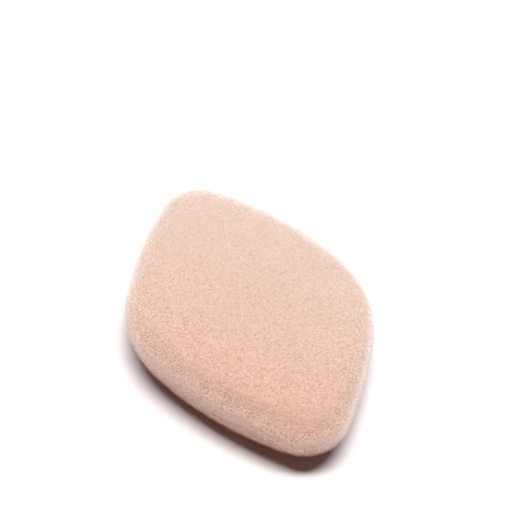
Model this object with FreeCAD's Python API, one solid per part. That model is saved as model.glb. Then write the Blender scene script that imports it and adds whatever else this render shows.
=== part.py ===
import FreeCAD, Part
import math
import os

# Makeup sponge: a pad of soft foam with a short flocked pile all over.
# Millimetres, +Z up. The origin is the middle of the face that the sponge rests on,
# and +X runs along the longer diagonal of its rounded rhombus outline.

Vector = FreeCAD.Vector

# Outline, seen from above
length = 65.0  # over the two pointed corners
width = 44.5  # over the two blunt corners
point_radius = 8.3  # rounding of the pointed corners
blunt_radius = 20.2  # rounding of the blunt corners
side_radius = 84.0  # bow of the four sides
blunt_lean = 2.7  # how far the blunt corners stand from the cross centre line, one each way

# Section, seen from the side
thickness = 14.5  # from crown to crown, before the resting face is pressed flat
crown = 3.5  # rise of each face above its rim
edge_radius = 4.4  # rounding from face to side
rest_depth = 0.5  # depth that the pile is pressed in where the sponge rests

# Layers, from the outside in
pile_depth = 0.9  # flocked nylon fibres
bond_depth = 0.15  # flexible adhesive that the fibres stand in
layer_gap = 0.05  # clearance between one layer and the next

# Squeezing the sponge between finger and thumb
squeeze_travel = 5.0  # how far the upper face comes down
fold_clearance = 0.8  # height that is left between the two face zones at full squeeze

# Places worked out from those sizes
middle_height = thickness / 2 - rest_depth
fold_height = squeeze_travel + fold_clearance
lower_fold = middle_height - fold_height / 2
upper_fold = middle_height + fold_height / 2


def arc_radius(chord, rise):
    """Radius of the arc that rises by `rise` over `chord`."""
    return (chord ** 2 / 4 + rise ** 2) / (2 * rise)


def side_centre(start, start_radius, end, end_radius, radius):
    """Centre of the side arc that touches two corner arcs, on the left of the way from one to the other."""
    span = end - start
    start_reach = radius - start_radius
    end_reach = radius - end_radius
    along = (start_reach ** 2 - end_reach ** 2 + span.Length ** 2) / (2 * span.Length)
    across = math.sqrt(start_reach ** 2 - along ** 2)
    forward = Vector(span).normalize()
    left = Vector(-forward.y, forward.x, 0)
    return start + forward * along + left * across


def point_towards(centre, radius, target):
    """Point on a circle in the direction of `target`."""
    return centre + (target - centre).normalize() * radius


def arc(centre, radius, start, end):
    """Edge from start to end on the given circle, the short way round."""
    halfway = point_towards(centre, radius, start + end - centre)
    return Part.Arc(start, halfway, end).toShape()


def outline(inset):
    """Closed wire of four corner arcs and four side arcs, parallel to the outer outline."""
    point_round = point_radius - inset
    blunt_round = blunt_radius - inset
    side_round = side_radius - inset
    point = Vector(length / 2 - point_radius, 0, 0)
    blunt = Vector(blunt_lean, width / 2 - blunt_radius, 0)
    corners = [(point, point_round), (blunt, blunt_round), (-point, point_round), (-blunt, blunt_round)]

    sides = []
    for index, (corner, corner_round) in enumerate(corners):
        following, following_round = corners[(index + 1) % len(corners)]
        centre = side_centre(corner, corner_round, following, following_round, side_round)
        start = point_towards(centre, side_round, corner)
        end = point_towards(centre, side_round, following)
        sides.append((centre, start, end))

    edges = []
    for index, (corner, corner_round) in enumerate(corners):
        centre, start, end = sides[index]
        edges.append(arc(corner, corner_round, sides[index - 1][2], start))
        edges.append(arc(centre, side_round, start, end))
    return Part.Wire(edges)


def crown_slab(inset):
    """Block whose top is the crowned face: one curve across the pad, swung along a flatter one."""
    across_radius = arc_radius(width, crown) - inset
    along_radius = arc_radius(length, crown) - inset
    top = middle_height + thickness / 2 - inset
    reach = width
    depth = 2 * thickness
    shoulder = top - across_radius + math.sqrt(across_radius ** 2 - reach ** 2)

    left = Vector(0, -reach, shoulder)
    right = Vector(0, reach, shoulder)
    lower_right = Vector(0, reach, top - depth)
    lower_left = Vector(0, -reach, top - depth)
    section = Part.Wire([
        Part.Arc(left, Vector(0, 0, top), right).toShape(),
        Part.makeLine(right, lower_right),
        Part.makeLine(lower_right, lower_left),
        Part.makeLine(lower_left, left),
    ])

    swing_centre = Vector(0, 0, top - along_radius)
    half_swing = math.degrees(math.asin(length / along_radius))
    face = Part.Face(section)
    face.rotate(swing_centre, Vector(0, 1, 0), -half_swing)
    return face.revolve(swing_centre, Vector(0, 1, 0), 2 * half_swing)


def turned_over(shape):
    """The same shape upside down about the middle of the pad."""
    copy = shape.copy()
    copy.rotate(Vector(0, 0, middle_height), Vector(1, 0, 0), 180)
    return copy


def rim_edges(solid):
    """Edges between the crowned faces and the side."""
    return [edge for edge in solid.Edges if abs(edge.tangentAt(edge.FirstParameter).z) < 0.5]


def roundest_edge():
    """Largest rounding that leaves a narrow upright side at the pointed corners, where the rim is lowest."""
    rim_height = thickness / 2 - crown
    rim_slope = 4 * crown / length
    full_round = rim_height / (math.hypot(1, rim_slope) - rim_slope)
    return 0.97 * full_round


def pad(inset):
    """Crowned pad with rounded edges, whose whole surface lies `inset` inside the pile tips."""
    prism = Part.Face(outline(inset)).extrude(Vector(0, 0, 2 * thickness))
    prism.translate(Vector(0, 0, middle_height - thickness))
    upper = crown_slab(inset)
    blank = prism.common(upper).common(turned_over(upper))
    return blank.makeFillet(min(edge_radius, roundest_edge(), point_radius) - inset, rim_edges(blank))


def layer_between(low, high):
    """Block that spans the whole pad between two heights."""
    block = Part.makeBox(2 * length, 2 * width, high - low)
    block.translate(Vector(-length, -width, low))
    return block


def zones(name, coat):
    """The upper, edge and lower zones of a coat, cut where it folds when the sponge is squeezed."""
    top = middle_height + thickness
    bottom = middle_height - thickness
    return {
        "upper_" + name: coat.common(layer_between(upper_fold, top)),
        "edge_" + name: coat.common(layer_between(lower_fold, upper_fold)),
        "lower_" + name: coat.common(layer_between(bottom, lower_fold)),
    }


def flock_coat():
    """Pile all over the pad, pressed flat where it rests."""
    standing = pad(0).common(layer_between(0, thickness))
    return standing.cut(pad(pile_depth))


def bond_coat():
    """Adhesive that the pile stands in."""
    outside = pile_depth + layer_gap
    return pad(outside).cut(pad(outside + bond_depth))


def foam_core():
    """Foam pad inside the adhesive."""
    return pad(pile_depth + bond_depth + 2 * layer_gap)


nodes = {"foam_core": foam_core()}
nodes.update(zones("bond_coat", bond_coat()))
nodes.update(zones("flock", flock_coat()))

os.makedirs("parts", exist_ok=True)
for node, shape in nodes.items():
    shape.exportStep("parts/" + node + ".step")
    box = shape.optimalBoundingBox(False, False)
    print(node, "solids", len(shape.Solids), "valid", shape.isValid(), "volume", round(shape.Volume, 1),
          "height", round(box.ZMin, 3), round(box.ZMax, 3))
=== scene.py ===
import math

import bmesh
import bpy
import numpy as np
from mathutils import Matrix, Vector, noise


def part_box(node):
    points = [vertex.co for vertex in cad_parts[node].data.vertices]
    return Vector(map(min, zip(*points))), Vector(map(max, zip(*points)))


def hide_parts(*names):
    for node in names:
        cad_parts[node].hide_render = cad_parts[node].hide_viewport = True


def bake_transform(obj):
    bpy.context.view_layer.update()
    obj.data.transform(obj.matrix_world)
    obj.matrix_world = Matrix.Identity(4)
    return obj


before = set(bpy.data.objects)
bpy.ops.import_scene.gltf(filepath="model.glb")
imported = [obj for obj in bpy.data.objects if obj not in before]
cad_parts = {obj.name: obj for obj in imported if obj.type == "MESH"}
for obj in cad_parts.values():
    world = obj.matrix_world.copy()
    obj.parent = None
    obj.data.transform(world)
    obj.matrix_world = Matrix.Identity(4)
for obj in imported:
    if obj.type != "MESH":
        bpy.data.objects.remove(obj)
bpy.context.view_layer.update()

# Makeup sponge: the looks of a flocked foam pad. Metres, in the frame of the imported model.

MM = 0.001
SEED = 7

# The camera, as the photograph was taken
IMAGE_SIDE_PX = 512
SPONGE_MIDDLE_PX = (249.3, 316.5)
PIXELS_PER_METRE = 5385.0  # at the middle of the sponge
FOCAL_LENGTH_PX = 2000.0
CAMERA_ELEVATION = math.radians(52.0)
LONG_AXIS_TURN = math.radians(114.1)  # from the right of the picture to the sponge's longer diagonal
SENSOR_WIDTH_MM = 36.0

# Slope of the surface and lie of the nap
FLAT_TO_SHOULDER = (math.radians(1), math.radians(26))  # slopes where the flat ends, the shoulder begins
SHOULDER_TO_SIDE = (math.radians(46), math.radians(82))  # where the shoulder ends, the side begins
SIDE_CALM = 0.6  # how much of the shoulder's opening and of the tufts' own shading is lost on the side
NAP_WAY = (-0.91, 0.41)  # the nap lies this way, so the pile opens most where the surface bends this way
NAP_SHARE = 1.6  # how much that counts against the slope itself

# Tufts of pile, and the matted bed that they stand in
TUFT_SPACING = 0.19 * MM  # least distance between two tufts
TRIES = 4  # places tried on each square of that distance
SPREAD_SPACING = 1.0 * MM  # of the mesh that the tufts are spread over
BED_SPACING = 0.26 * MM  # of the bed's mesh
FLAT_WIDTH = 0.10 * MM  # from a tuft's middle to its corners, on the flat of the faces
BENT_WIDTH = 0.14 * MM  # the same on the shoulder, where the pile opens into clumps
FLAT_DEPTH = 0.28 * MM  # from the tips down to the bed, on the flat of the faces
BENT_DEPTH = 0.38 * MM  # the same on the shoulder
ROOT_DEPTH = 0.10 * MM  # how far a tuft's foot lies below the top of the bed
STRAY = 0.16 * MM  # how far tips stand aside at random
UNEVEN = 0.10 * MM  # how much shorter some tufts are
FUZZ = 0.30 * MM  # how far a few fibres stand proud of the rest
FLOOR_CLEARANCE = 0.01 * MM  # least height of a tip above the floor
PRESSED = 0.45  # share of the pile's height that is left where the sponge rests
RESTING_HEIGHT = 0.05 * MM  # the resting face lies below this height
RESTING_NORMAL = -0.995  # and the upward part of its normals is below this
TUFT_FACES = ((0, 1, 3), (1, 2, 3), (2, 0, 3), (2, 1, 0))  # corners 0 to 2 are at the foot, 3 is the tip
MAP_MARGIN = 0.12  # share of a tuft's cell on its map that is left free along the edges

# Clumps that the tufts draw together in
CLUMP_SIZE = 0.30 * MM
FINE_CLUMP_SIZE = 0.45 * CLUMP_SIZE
FINE_CLUMP_SHARE = 0.45  # how much the fine clumps count against the others
CLUMP_LEAN = 0.05 * MM  # how far tips draw back from the openings
LEAN_STEP = 0.06 * MM  # distance over which the rise of the clump field is measured
OPENING_DEPTH = 0.14 * MM  # how much deeper the bed is in the openings between clumps
OPEN_TO_CLOSED = (-0.42, 0.20)  # the clump field in the openings and in the clumps
FLAT_CLOSING = 0.42  # what is added to the field on the flat, where the pile stays closed
BARE = 0.12  # no tuft stands where the pile is less close than this
BARE_SPREAD = 0.2  # what is added to that at random

# Shading of the tufts. Spans are parts of the normals, along the nap, down or up
SOFTENING_ROUNDS = 8  # of averaging, which set how gently the shading turns over the edge
LEAST_FLANK = 0.12  # share of its own sides in a tuft's shading, where the surface turns from the nap
MOST_FLANK = 0.82  # the same where it turns with the nap; the rest is that of the face it stands on
FROM_NAP_TO_WITH_IT = (-0.3, 0.5)  # along the nap
SIDE_TO_UNDERSIDE = (0.55, 0.85)  # downward, where tufts come to hang and lose their own shading
HIGH_SIDE_TO_LOW_SIDE = (0.35, -0.15)  # upward
LOW_SIDE_LIFT = 0.85  # how far up the low side's fibres are shaded, because light comes down through them

# Places on the fibre's colours, from 0, dark and warm, which is painted shade deep in the pile, to 1, pale,
# which is painted sheen at the tips
BED_RISE = 0.45  # from the openings of the bed, darkest with painted shade, to its clumps
FOOT_LEAST = 0.05  # foot of a tuft beside an opening, darkest with painted shade
FOOT_RISE = 0.40  # from there to the foot of a tuft inside a clump, where the painted shade is lighter
FLAT_TIP = 0.62  # least place of a tip on the flat of the faces
BENT_TIP = 0.67  # the same on the shoulder, higher there as painted light
TIP_SPREAD = 0.28  # how much higher tips are at random
PAINTED_SHADE_WAY = (-0.56, 0.25, 0.79)  # the tips are painted darker and warmer where the surface turns this way, towards the camera: painted shade
UNSHADED_TO_SHADED = (0.86, 1.0)  # part of the normal along that way
PAINTED_SHADE_DROP = 0.10  # how much lower the tips are there, as painted shade
SIDE_PAINTED_LIGHT = 0.08  # how much higher they are on the steep side, as painted light
FACE_TO_FAR_SLOPE = (0.0, 0.2)  # part of the normal against the nap, on the gentle slope before the far rim
FAR_SLOPE_PAINTED_SHADE = 0.08  # how much lower the tips are there, as painted shade
FAR_SLOPE_TO_RIM = (0.14, 0.38)  # the same part of the normal on the far rim
FAR_RIM_PAINTED_SHEEN = 0.34  # how much higher the tips are there, as painted sheen

# Layers under the pile
BOND_INSET = 0.97 * MM
FOAM_INSET = 1.16 * MM
LAYER_SPACING = 0.6 * MM

PILE_NODES = ["upper_flock", "edge_flock", "lower_flock"]
BOND_NODES = ["upper_bond_coat", "edge_bond_coat", "lower_bond_coat"]
lower_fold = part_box("edge_flock")[0].z
upper_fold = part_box("edge_flock")[1].z
top_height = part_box("upper_flock")[1].z
middle = Vector((0, 0, (lower_fold + upper_fold) / 2))


# Mesh helpers

def new_object(name, data):
    made = bpy.data.objects.new(name, data)
    bpy.context.scene.collection.objects.link(made)
    return made


def mesh_of_triangles(name, points, triangles):
    mesh = bpy.data.meshes.new(name)
    mesh.vertices.add(len(points))
    mesh.vertices.foreach_set("co", points.astype(np.float32).ravel())
    mesh.loops.add(3 * len(triangles))
    mesh.loops.foreach_set("vertex_index", triangles.astype(np.int32).ravel())
    mesh.polygons.add(len(triangles))
    mesh.polygons.foreach_set("loop_start", np.arange(0, 3 * len(triangles), 3, dtype=np.int32))
    mesh.update(calc_edges=True)
    mesh.shade_smooth()
    return mesh


def points_and_normals(mesh):
    count = len(mesh.vertices)
    points = np.empty(count * 3, np.float32)
    mesh.vertices.foreach_get("co", points)
    normals = np.empty(count * 3, np.float32)
    mesh.vertex_normals.foreach_get("vector", normals)
    return points.reshape(-1, 3).astype(float), normals.reshape(-1, 3).astype(float)


def move_points(mesh, points):
    mesh.vertices.foreach_set("co", points.astype(np.float32).ravel())
    mesh.update()


def number_each_point(mesh, name, values):
    attribute = mesh.attributes.new(name, "FLOAT", "POINT")
    attribute.data.foreach_set("value", values.astype(np.float32))


def unit(vectors):
    """The same directions at length one."""
    return vectors / np.linalg.norm(vectors, axis=1, keepdims=True)


def tangents(normals):
    """Two unit vectors square to each normal."""
    nearly_upright = np.abs(normals[:, 2:3]) > 0.8
    helper = np.where(nearly_upright, [[1.0, 0.0, 0.0]], [[0.0, 0.0, 1.0]])
    first = unit(np.cross(normals, helper))
    return first, np.cross(normals, first)


def smooth_step(span, values):
    """0 before the span, 1 after it and an easy curve between. The span may run downwards."""
    start, end = span
    share = np.clip((values - start) / (end - start), 0, 1)
    return share * share * (3 - 2 * share)


# Surfaces of the sponge

def hull_of_nodes(nodes):
    """Closed convex skin round some CAD nodes. The sponge is convex, so this is its outer surface."""
    shell = bmesh.new()
    for node in nodes:
        shell.from_mesh(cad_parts[node].data)
    found = bmesh.ops.convex_hull(shell, input=shell.verts)
    unused = found["geom_interior"] + found["geom_unused"]
    bmesh.ops.delete(shell, geom=list(set(unused)), context="VERTS")
    mesh = bpy.data.meshes.new("hull")
    shell.to_mesh(mesh)
    shell.free()
    return mesh


def even_skin(spacing):
    """The outer surface of the sponge with vertices about `spacing` apart."""
    holder = new_object("skin_holder", hull_of_nodes(PILE_NODES))
    even = holder.modifiers.new("even", "REMESH")
    even.mode = "VOXEL"
    even.voxel_size = spacing
    graph = bpy.context.evaluated_depsgraph_get()
    skin = bpy.data.meshes.new_from_object(holder.evaluated_get(graph))
    bpy.data.objects.remove(holder)
    skin.shade_smooth()
    return skin


def softened(mesh, normals):
    """Normals averaged with their neighbours, which turn gently from the faces to the side."""
    ends = np.empty(len(mesh.edges) * 2, np.int32)
    mesh.edges.foreach_get("vertices", ends)
    ends = ends.reshape(-1, 2)
    for _ in range(SOFTENING_ROUNDS):
        total = normals.copy()
        np.add.at(total, ends[:, 0], normals[ends[:, 1]])
        np.add.at(total, ends[:, 1], normals[ends[:, 0]])
        normals = unit(total)
    return normals


def thinned(points, spacing):
    """Indices of points of which none is nearer to another than `spacing`."""
    row = 4096  # cells along each way of a grid that is wider than the sponge
    cells = np.floor(points / spacing).astype(int) + row // 2
    keys = ((cells[:, 0] * row + cells[:, 1]) * row + cells[:, 2]).tolist()
    reach = (-1, 0, 1)
    steps = [(i * row + j) * row + k for i in reach for j in reach for k in reach]
    taken = {}
    kept = []
    for index, (x, y, z) in enumerate(points.tolist()):
        near = [other for step in steps for other in taken.get(keys[index] + step, ())]
        if all((x - a) ** 2 + (y - b) ** 2 + (z - c) ** 2 > spacing ** 2 for a, b, c in near):
            taken.setdefault(keys[index], []).append((x, y, z))
            kept.append(index)
    return kept


def scatter(mesh, spacing, chance):
    """Points spread irregularly over a skin, none nearer to another than `spacing`.

    Returns the points, their normals and their softened normals.
    """
    vertices, vertex_normals = points_and_normals(mesh)
    soft_normals = softened(mesh, vertex_normals)
    mesh.calc_loop_triangles()
    corners = np.empty(len(mesh.loop_triangles) * 3, np.int32)
    mesh.loop_triangles.foreach_get("vertices", corners)
    corners = corners.reshape(-1, 3)
    first, second, third = (vertices[corners[:, k]] for k in range(3))
    areas = np.linalg.norm(np.cross(second - first, third - first), axis=1) / 2
    tries = int(TRIES * areas.sum() / spacing ** 2)
    chosen = corners[chance.choice(len(areas), tries, p=areas / areas.sum())]
    share = chance.dirichlet((1, 1, 1), tries)

    def within(values):
        """Values at the chosen places, from those at the corners of their triangles."""
        return sum(values[chosen[:, k]] * share[:, k:k + 1] for k in range(3))

    points = within(vertices)
    kept = thinned(points, spacing)
    return points[kept], unit(within(vertex_normals))[kept], unit(within(soft_normals))[kept]


# Lie of the pile

def slope_of(normals):
    """Angle between each normal and the upright, up or down."""
    return np.arccos(np.clip(np.abs(normals[:, 2]), 0, 1))


def side_share(normals):
    """0 on the faces and shoulders, 1 on the steep side of the sponge."""
    return smooth_step(SHOULDER_TO_SIDE, slope_of(normals))


def by_bend(flat, bent, normals):
    """A value for each point: `flat` on the faces, `bent` on the shoulder that turns with the nap."""
    slope = slope_of(normals) + NAP_SHARE * (normals[:, :2] @ NAP_WAY)
    bend = smooth_step(FLAT_TO_SHOULDER, slope) * (1 - SIDE_CALM * side_share(normals))
    return flat + (bent - flat) * bend


def clump_field(points):
    """How closely the fibres stand together at each point, low in the openings between clumps."""
    coarse = np.array([noise.noise(Vector(point) / CLUMP_SIZE) for point in points])
    fine = np.array([noise.noise(Vector(point) / FINE_CLUMP_SIZE) for point in points])
    return coarse + FINE_CLUMP_SHARE * fine


def closeness(field, normals):
    """The clump field from 0, open, to 1, closed. The pile opens most where the surface bends."""
    return smooth_step(OPEN_TO_CLOSED, field + by_bend(FLAT_CLOSING, 0.0, normals))


def share_standing(points, normals):
    """1 where the pile stands free, less where the sponge rests on it."""
    resting = (normals[:, 2] < RESTING_NORMAL) & (points[:, 2] < RESTING_HEIGHT)
    return np.where(resting, PRESSED, 1.0)


# Bed and tufts

def bed_mesh():
    """Matted part of the pile: a closed skin that dips in the openings between clumps."""
    mesh = even_skin(BED_SPACING)
    mesh.name = "pile_bed"
    points, normals = points_and_normals(mesh)
    closed = closeness(clump_field(points), normals)
    depth = by_bend(FLAT_DEPTH, BENT_DEPTH, normals) + OPENING_DEPTH * (1 - closed)
    depth *= share_standing(points, normals)
    move_points(mesh, points - normals * depth[:, None])
    # the bed is painted darker in the openings between clumps: painted shade
    number_each_point(mesh, "along", BED_RISE * closed)
    return mesh


def tip_shift(tops, normals, field, chance):
    """How far each tip stands from its place: drawn into its clump, aside, and higher or lower."""
    count = len(tops)
    first, second = tangents(normals)
    rise_first = (clump_field(tops + first * LEAN_STEP) - field)[:, None]
    rise_second = (clump_field(tops + second * LEAN_STEP) - field)[:, None]
    lean = (first * rise_first + second * rise_second) * (CLUMP_SIZE / LEAN_STEP * CLUMP_LEAN)
    turn = chance.random(count)[:, None] * 2 * np.pi
    stray = (first * np.cos(turn) + second * np.sin(turn)) * (STRAY * chance.random(count)[:, None])
    short = UNEVEN * chance.random(count)[:, None] ** 2  # most tufts are nearly full height
    proud = FUZZ * chance.random(count)[:, None] ** 5  # and very few stand far out
    return lean + stray + normals * (proud - short)


def foot_corners(foot, normals, width, chance):
    """The three corners of each tuft's foot, turned at random."""
    first, second = tangents(normals)
    spin = chance.random(len(foot)) * 2 * np.pi
    corners = []
    for corner in range(3):
        angle = spin + corner * 2 * np.pi / 3
        out = first * np.cos(angle)[:, None] + second * np.sin(angle)[:, None]
        corners.append(foot + out * width)
    return corners


def tip_colours(soft, chance):
    """Place of each tip on the fibre's colours: spread at random, raised for painted light on the shoulder
    and the steep side and for painted sheen on the far rim, lowered for painted shade where the surface
    turns towards the camera and on the slope before the far rim.
    """
    from_nap = -(soft[:, :2] @ NAP_WAY)
    # tips spread at random, and placed higher on the shoulder as painted light
    place = by_bend(FLAT_TIP, BENT_TIP, soft) + TIP_SPREAD * chance.random(len(soft))
    # painted shade where the surface turns towards the camera
    place -= PAINTED_SHADE_DROP * smooth_step(UNSHADED_TO_SHADED, soft @ PAINTED_SHADE_WAY)
    # painted light on the steep side
    place += SIDE_PAINTED_LIGHT * side_share(soft)
    # painted sheen on the far rim
    place += FAR_RIM_PAINTED_SHEEN * smooth_step(FAR_SLOPE_TO_RIM, from_nap)
    # painted shade on the slope before the far rim
    place -= FAR_SLOPE_PAINTED_SHADE * smooth_step(FACE_TO_FAR_SLOPE, from_nap)
    return place


def tuft_map(mesh, count):
    """A place of its own for each tuft on a square map, from its foot to its tip."""
    row = math.ceil(math.sqrt(count))
    cell = 1 / row
    edge = MAP_MARGIN * cell
    corner = np.stack([np.arange(count) % row, np.arange(count) // row], 1) * cell
    left = corner + [edge, edge]
    right = corner + [cell - edge, edge]
    tip = corner + [cell / 2, cell - edge]
    low = corner + [cell / 2, 3 * edge]
    side = [left, right, tip]
    places = np.stack(side + side + side + [left, right, low], 1)
    layer = mesh.uv_layers.new(name="OFBake")
    layer.data.foreach_set("uv", places.astype(np.float32).ravel())


def fibre_normals(mesh, axes):
    """Shading normals between each tuft's own faces and its axis, as on a bundle of round fibres."""
    faces_each = len(TUFT_FACES)
    faces = np.empty(len(mesh.polygons) * 3, np.float32)
    mesh.polygon_normals.foreach_get("vector", faces)
    hanging = smooth_step(SIDE_TO_UNDERSIDE, -axes[:, 2])
    with_nap = smooth_step(FROM_NAP_TO_WITH_IT, axes[:, :2] @ NAP_WAY)
    flank = LEAST_FLANK + (MOST_FLANK - LEAST_FLANK) * with_nap
    flank *= 1 - SIDE_CALM * side_share(axes)
    own = np.repeat(flank * (1 - hanging), faces_each)[:, None]
    mixed = own * faces.reshape(-1, 3) + (1 - own) * np.repeat(axes, faces_each, 0)
    low_side = smooth_step(HIGH_SIDE_TO_LOW_SIDE, axes[:, 2]) * (1 - hanging)
    mixed[:, 2] += LOW_SIDE_LIFT * np.repeat(low_side, faces_each)
    mesh.normals_split_custom_set(np.repeat(unit(mixed), 3, 0).tolist())


def tuft_mesh(name, tops, normals, soft, chance):
    """Closed three-sided tufts that stand on the bed and draw together in clumps."""
    field = clump_field(tops)
    closed = closeness(field, soft)
    kept = closed > BARE + BARE_SPREAD * chance.random(len(tops))
    tops = tops[kept]
    normals = normals[kept]
    soft = soft[kept]
    field = field[kept]
    closed = closed[kept]
    count = len(tops)

    stand = share_standing(tops, normals)[:, None]
    height = by_bend(FLAT_DEPTH, BENT_DEPTH, soft)[:, None] + ROOT_DEPTH
    width = by_bend(FLAT_WIDTH, BENT_WIDTH, soft)[:, None]
    foot = tops - normals * height * stand
    tip = tops + tip_shift(tops, normals, field, chance) * stand
    tip[:, 2] = np.clip(tip[:, 2], FLOOR_CLEARANCE, top_height)
    points = np.stack(foot_corners(foot, normals, width, chance) + [tip], 1)
    first_points = np.arange(count)[:, None, None] * points.shape[1]
    triangles = first_points + np.array(TUFT_FACES)[None]
    mesh = mesh_of_triangles(name, points.reshape(-1, 3), triangles.reshape(-1, 3))
    fibre_normals(mesh, soft)

    # feet are painted darker beside the openings: painted shade deep in the pile
    foot_shade = FOOT_LEAST + FOOT_RISE * closed
    colours = np.stack([foot_shade] * 3 + [tip_colours(soft, chance)], 1)
    number_each_point(mesh, "along", colours.ravel())
    tuft_map(mesh, count)
    return mesh


# Materials

def principled(name):
    material = bpy.data.materials.new(name)
    material.use_nodes = True
    nodes = material.node_tree.nodes
    return material, nodes, material.node_tree.links, nodes["Principled BSDF"]


def ramp(nodes, stops):
    """Colour ramp with the given places and colours."""
    node = nodes.new("ShaderNodeValToRGB")
    elements = node.color_ramp.elements
    while len(elements) < len(stops):
        elements.new(0.5)
    for element, (place, colour) in zip(elements, stops):
        element.position = place
        element.color = (*colour, 1)
    return node


def noise_in_place(nodes, links, wavelength, detail):
    """Noise that stays with the piece, with features about `wavelength` across."""
    place = nodes.new("ShaderNodeTexCoord")
    texture = nodes.new("ShaderNodeTexNoise")
    texture.inputs["Scale"].default_value = 1 / wavelength
    texture.inputs["Detail"].default_value = detail
    links.new(place.outputs["Object"], texture.inputs["Vector"])
    return texture


def multiplied(nodes, links, first, second, share):
    """Colour socket of two colours multiplied together."""
    mix = nodes.new("ShaderNodeMix")
    mix.data_type = "RGBA"
    mix.blend_type = "MULTIPLY"
    mix.inputs["Factor"].default_value = share
    links.new(first, mix.inputs["A"])
    links.new(second, mix.inputs["B"])
    return mix.outputs["Result"]


def pile_material():
    """Nylon flock: dark and warm between the fibres, which is painted shade, and pale at the tips, which is
    painted sheen, with a soft sheen in the shader as well.
    """
    material, nodes, links, shader = principled("flocked_pile")
    along = nodes.new("ShaderNodeAttribute")
    along.attribute_name = "along"
    # the dark warm end is painted shade deep in the pile, the pale end painted sheen at the tips
    fibre = ramp(nodes, [
        (0.0, (0.35, 0.185, 0.11)),
        (0.45, (0.405, 0.255, 0.187)),
        (0.53, (0.42, 0.275, 0.208)),
        (0.65, (0.53, 0.405, 0.345)),
        (0.85, (0.68, 0.60, 0.555)),
        (1.0, (0.84, 0.79, 0.76)),
    ])
    links.new(along.outputs["Fac"], fibre.inputs["Fac"])
    patches = noise_in_place(nodes, links, wavelength=0.6 * MM, detail=2.0)
    patch_tint = ramp(nodes, [(0.32, (0.84, 0.77, 0.72)), (0.62, (1.0, 1.0, 1.0))])
    links.new(patches.outputs["Fac"], patch_tint.inputs["Fac"])
    colour = multiplied(nodes, links, fibre.outputs["Color"], patch_tint.outputs["Color"], share=0.6)
    links.new(colour, shader.inputs["Base Color"])
    shader.inputs["Roughness"].default_value = 0.9
    shader.inputs["Sheen Weight"].default_value = 1.0
    shader.inputs["Sheen Roughness"].default_value = 0.66
    shader.inputs["Specular IOR Level"].default_value = 0.2
    return material


def adhesive_material():
    """Flexible adhesive, a little darker and glossier than the pile."""
    material, nodes, links, shader = principled("adhesive")
    streaks = noise_in_place(nodes, links, wavelength=2.0 * MM, detail=4.0)
    tint = ramp(nodes, [(0.35, (0.52, 0.30, 0.21)), (0.7, (0.62, 0.38, 0.28))])
    links.new(streaks.outputs["Fac"], tint.inputs["Fac"])
    links.new(tint.outputs["Color"], shader.inputs["Base Color"])
    shader.inputs["Roughness"].default_value = 0.45
    return material


def foam_material():
    """Fine soft foam with small open cells, painted darker in their hollows as painted shade."""
    material, nodes, links, shader = principled("foam")
    cell_size = 0.35 * MM
    cell_depth = 0.1 * MM
    place = nodes.new("ShaderNodeTexCoord")
    cells = nodes.new("ShaderNodeTexVoronoi")
    cells.inputs["Scale"].default_value = 1 / cell_size
    links.new(place.outputs["Object"], cells.inputs["Vector"])
    # darker in the hollows of the cells: painted shade
    tint = ramp(nodes, [(0.1, (0.52, 0.38, 0.29)), (0.45, (0.78, 0.62, 0.51))])
    links.new(cells.outputs["Distance"], tint.inputs["Fac"])
    links.new(tint.outputs["Color"], shader.inputs["Base Color"])
    bump = nodes.new("ShaderNodeBump")
    bump.inputs["Strength"].default_value = 0.6
    bump.inputs["Distance"].default_value = cell_depth
    links.new(cells.outputs["Distance"], bump.inputs["Height"])
    links.new(bump.outputs["Normal"], shader.inputs["Normal"])
    shader.inputs["Roughness"].default_value = 0.95
    return material


def floor_material():
    """Plain white paper."""
    material, _, _, shader = principled("floor")
    shader.inputs["Base Color"].default_value = (0.72, 0.67, 0.67, 1)
    shader.inputs["Roughness"].default_value = 0.8
    shader.inputs["Specular IOR Level"].default_value = 0.0
    return material


# Pieces

def soft_follow(piece):
    """The piece's placing is applied to its mesh."""
    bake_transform(piece)


def build_pile():
    chance = np.random.default_rng(SEED)
    material = pile_material()
    bed = new_object("pile_bed", bed_mesh())
    bed.data.materials.append(material)
    soft_follow(bed)
    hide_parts(*PILE_NODES)

    tops, normals, soft = scatter(even_skin(SPREAD_SPACING), TUFT_SPACING, chance)
    height = tops[:, 2]
    zones = {
        "upper": height > upper_fold,
        "edge": (height <= upper_fold) & (height >= lower_fold),
        "lower": height < lower_fold,
    }
    for zone, inside in zones.items():
        name = zone + "_pile"
        mesh = tuft_mesh(name, tops[inside], normals[inside], soft[inside], chance)
        piece = new_object(name, mesh)
        mesh.materials.append(material)
        soft_follow(piece)
        piece.visible_shadow = False  # light passes through the fine fibres
        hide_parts(zone + "_flock")


def inset_piece(name, inset, material, nodes):
    """Closed layer parallel to the outside of the sponge."""
    mesh = even_skin(LAYER_SPACING)
    mesh.name = name
    points, normals = points_and_normals(mesh)
    move_points(mesh, points - normals * inset)
    mesh.materials.append(material)
    piece = new_object(name, mesh)
    soft_follow(piece)
    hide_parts(*nodes)
    return piece


def build_layers():
    inset_piece("bond_skin", BOND_INSET, adhesive_material(), BOND_NODES)
    foam = inset_piece("foam_pad", FOAM_INSET, foam_material(), ["foam_core"])


# Studio

def camera_axes():
    """Right, away and up of the photograph, in the frame's axes."""
    right = Vector((math.cos(LONG_AXIS_TURN), -math.sin(LONG_AXIS_TURN), 0))
    away = Vector((math.sin(LONG_AXIS_TURN), math.cos(LONG_AXIS_TURN), 0))
    up = away * math.sin(CAMERA_ELEVATION) + Vector((0, 0, math.cos(CAMERA_ELEVATION)))
    return right, away, up


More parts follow.
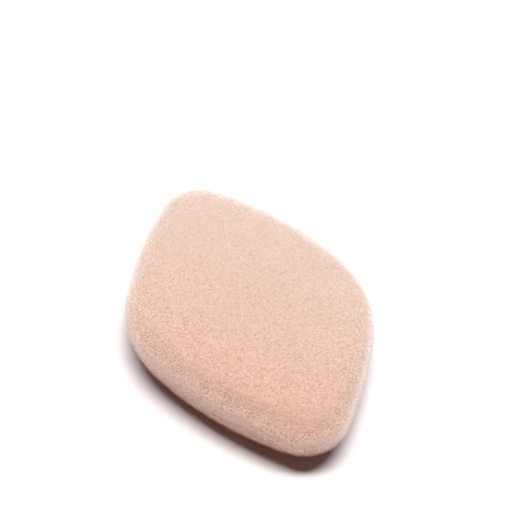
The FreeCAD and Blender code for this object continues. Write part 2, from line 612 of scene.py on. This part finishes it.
def build_camera():
    right, away, up = camera_axes()
    back = Vector((0, 0, math.sin(CAMERA_ELEVATION))) - away * math.cos(CAMERA_ELEVATION)
    distance = FOCAL_LENGTH_PX / PIXELS_PER_METRE
    across = (IMAGE_SIDE_PX / 2 - SPONGE_MIDDLE_PX[0]) / PIXELS_PER_METRE
    above = (SPONGE_MIDDLE_PX[1] - IMAGE_SIDE_PX / 2) / PIXELS_PER_METRE
    aim = middle + right * across + up * above
    lens = bpy.data.cameras.new("camera")
    lens.sensor_width = SENSOR_WIDTH_MM
    lens.lens = SENSOR_WIDTH_MM * FOCAL_LENGTH_PX / IMAGE_SIDE_PX
    lens.clip_start = 0.01
    camera = new_object("camera", lens)
    camera.location = middle + back * distance
    camera.rotation_euler = (aim - camera.location).to_track_quat("-Z", "Y").to_euler()
    bpy.context.scene.camera = camera


def build_stage():
    half_side = 1.6
    corners = [(x * half_side, y * half_side, 0) for x, y in ((-1, -1), (1, -1), (1, 1), (-1, 1))]
    mesh = bpy.data.meshes.new("floor")
    mesh.from_pydata(corners, [], [(0, 1, 2, 3)])
    mesh.materials.append(floor_material())
    new_object("floor", mesh)


def build_backdrop():
    """White beyond the floor, which is seen but gives no light."""
    world = bpy.data.worlds.new("studio")
    world.use_nodes = True
    background = world.node_tree.nodes["Background"]
    background.inputs["Color"].default_value = (1, 1, 1, 1)
    background.inputs["Strength"].default_value = 1.0
    world.cycles_visibility.diffuse = False
    world.cycles_visibility.glossy = False
    bpy.context.scene.world = world
    bpy.context.scene.view_settings.view_transform = "Standard"


def area_light(name, colour, power, across, beyond, above, width, height):
    """Soft box that faces the sponge, with its width across the picture.

    Its place is measured from the middle of the sponge: across the picture, beyond the sponge and above it.
    """
    right, away, _ = camera_axes()
    place = middle + right * across + away * beyond + Vector((0, 0, above))
    lamp = bpy.data.lights.new(name, "AREA")
    lamp.shape = "ELLIPSE"
    lamp.size = width
    lamp.size_y = height
    lamp.energy = power
    lamp.color = colour
    back = (place - middle).normalized()
    side = (right - back * right.dot(back)).normalized()
    turn = Matrix((side, back.cross(side), back)).transposed()
    light = new_object(name, lamp)
    light.matrix_world = Matrix.Translation(place) @ turn.to_4x4()


def build_lights():
    white = (1.0, 1.0, 1.0)
    warm = (1.0, 0.30, 0.15)
    cool = (0.80, 0.95, 1.0)
    area_light("key", white, power=45.6, across=0.12, beyond=0.15, above=1.60,
               width=1.50, height=0.50)
    area_light("side", white, power=6.0, across=0.20, beyond=1.00, above=1.00,
               width=1.2, height=1.0)
    area_light("front_strip", warm, power=6.0, across=-0.50, beyond=-1.24, above=0.03,
               width=2.4, height=0.06)
    area_light("back_strip", cool, power=10.0, across=0.10, beyond=1.32, above=0.14,
               width=2.4, height=0.12)


build_camera()
build_pile()
build_layers()
build_stage()
build_backdrop()
build_lights()
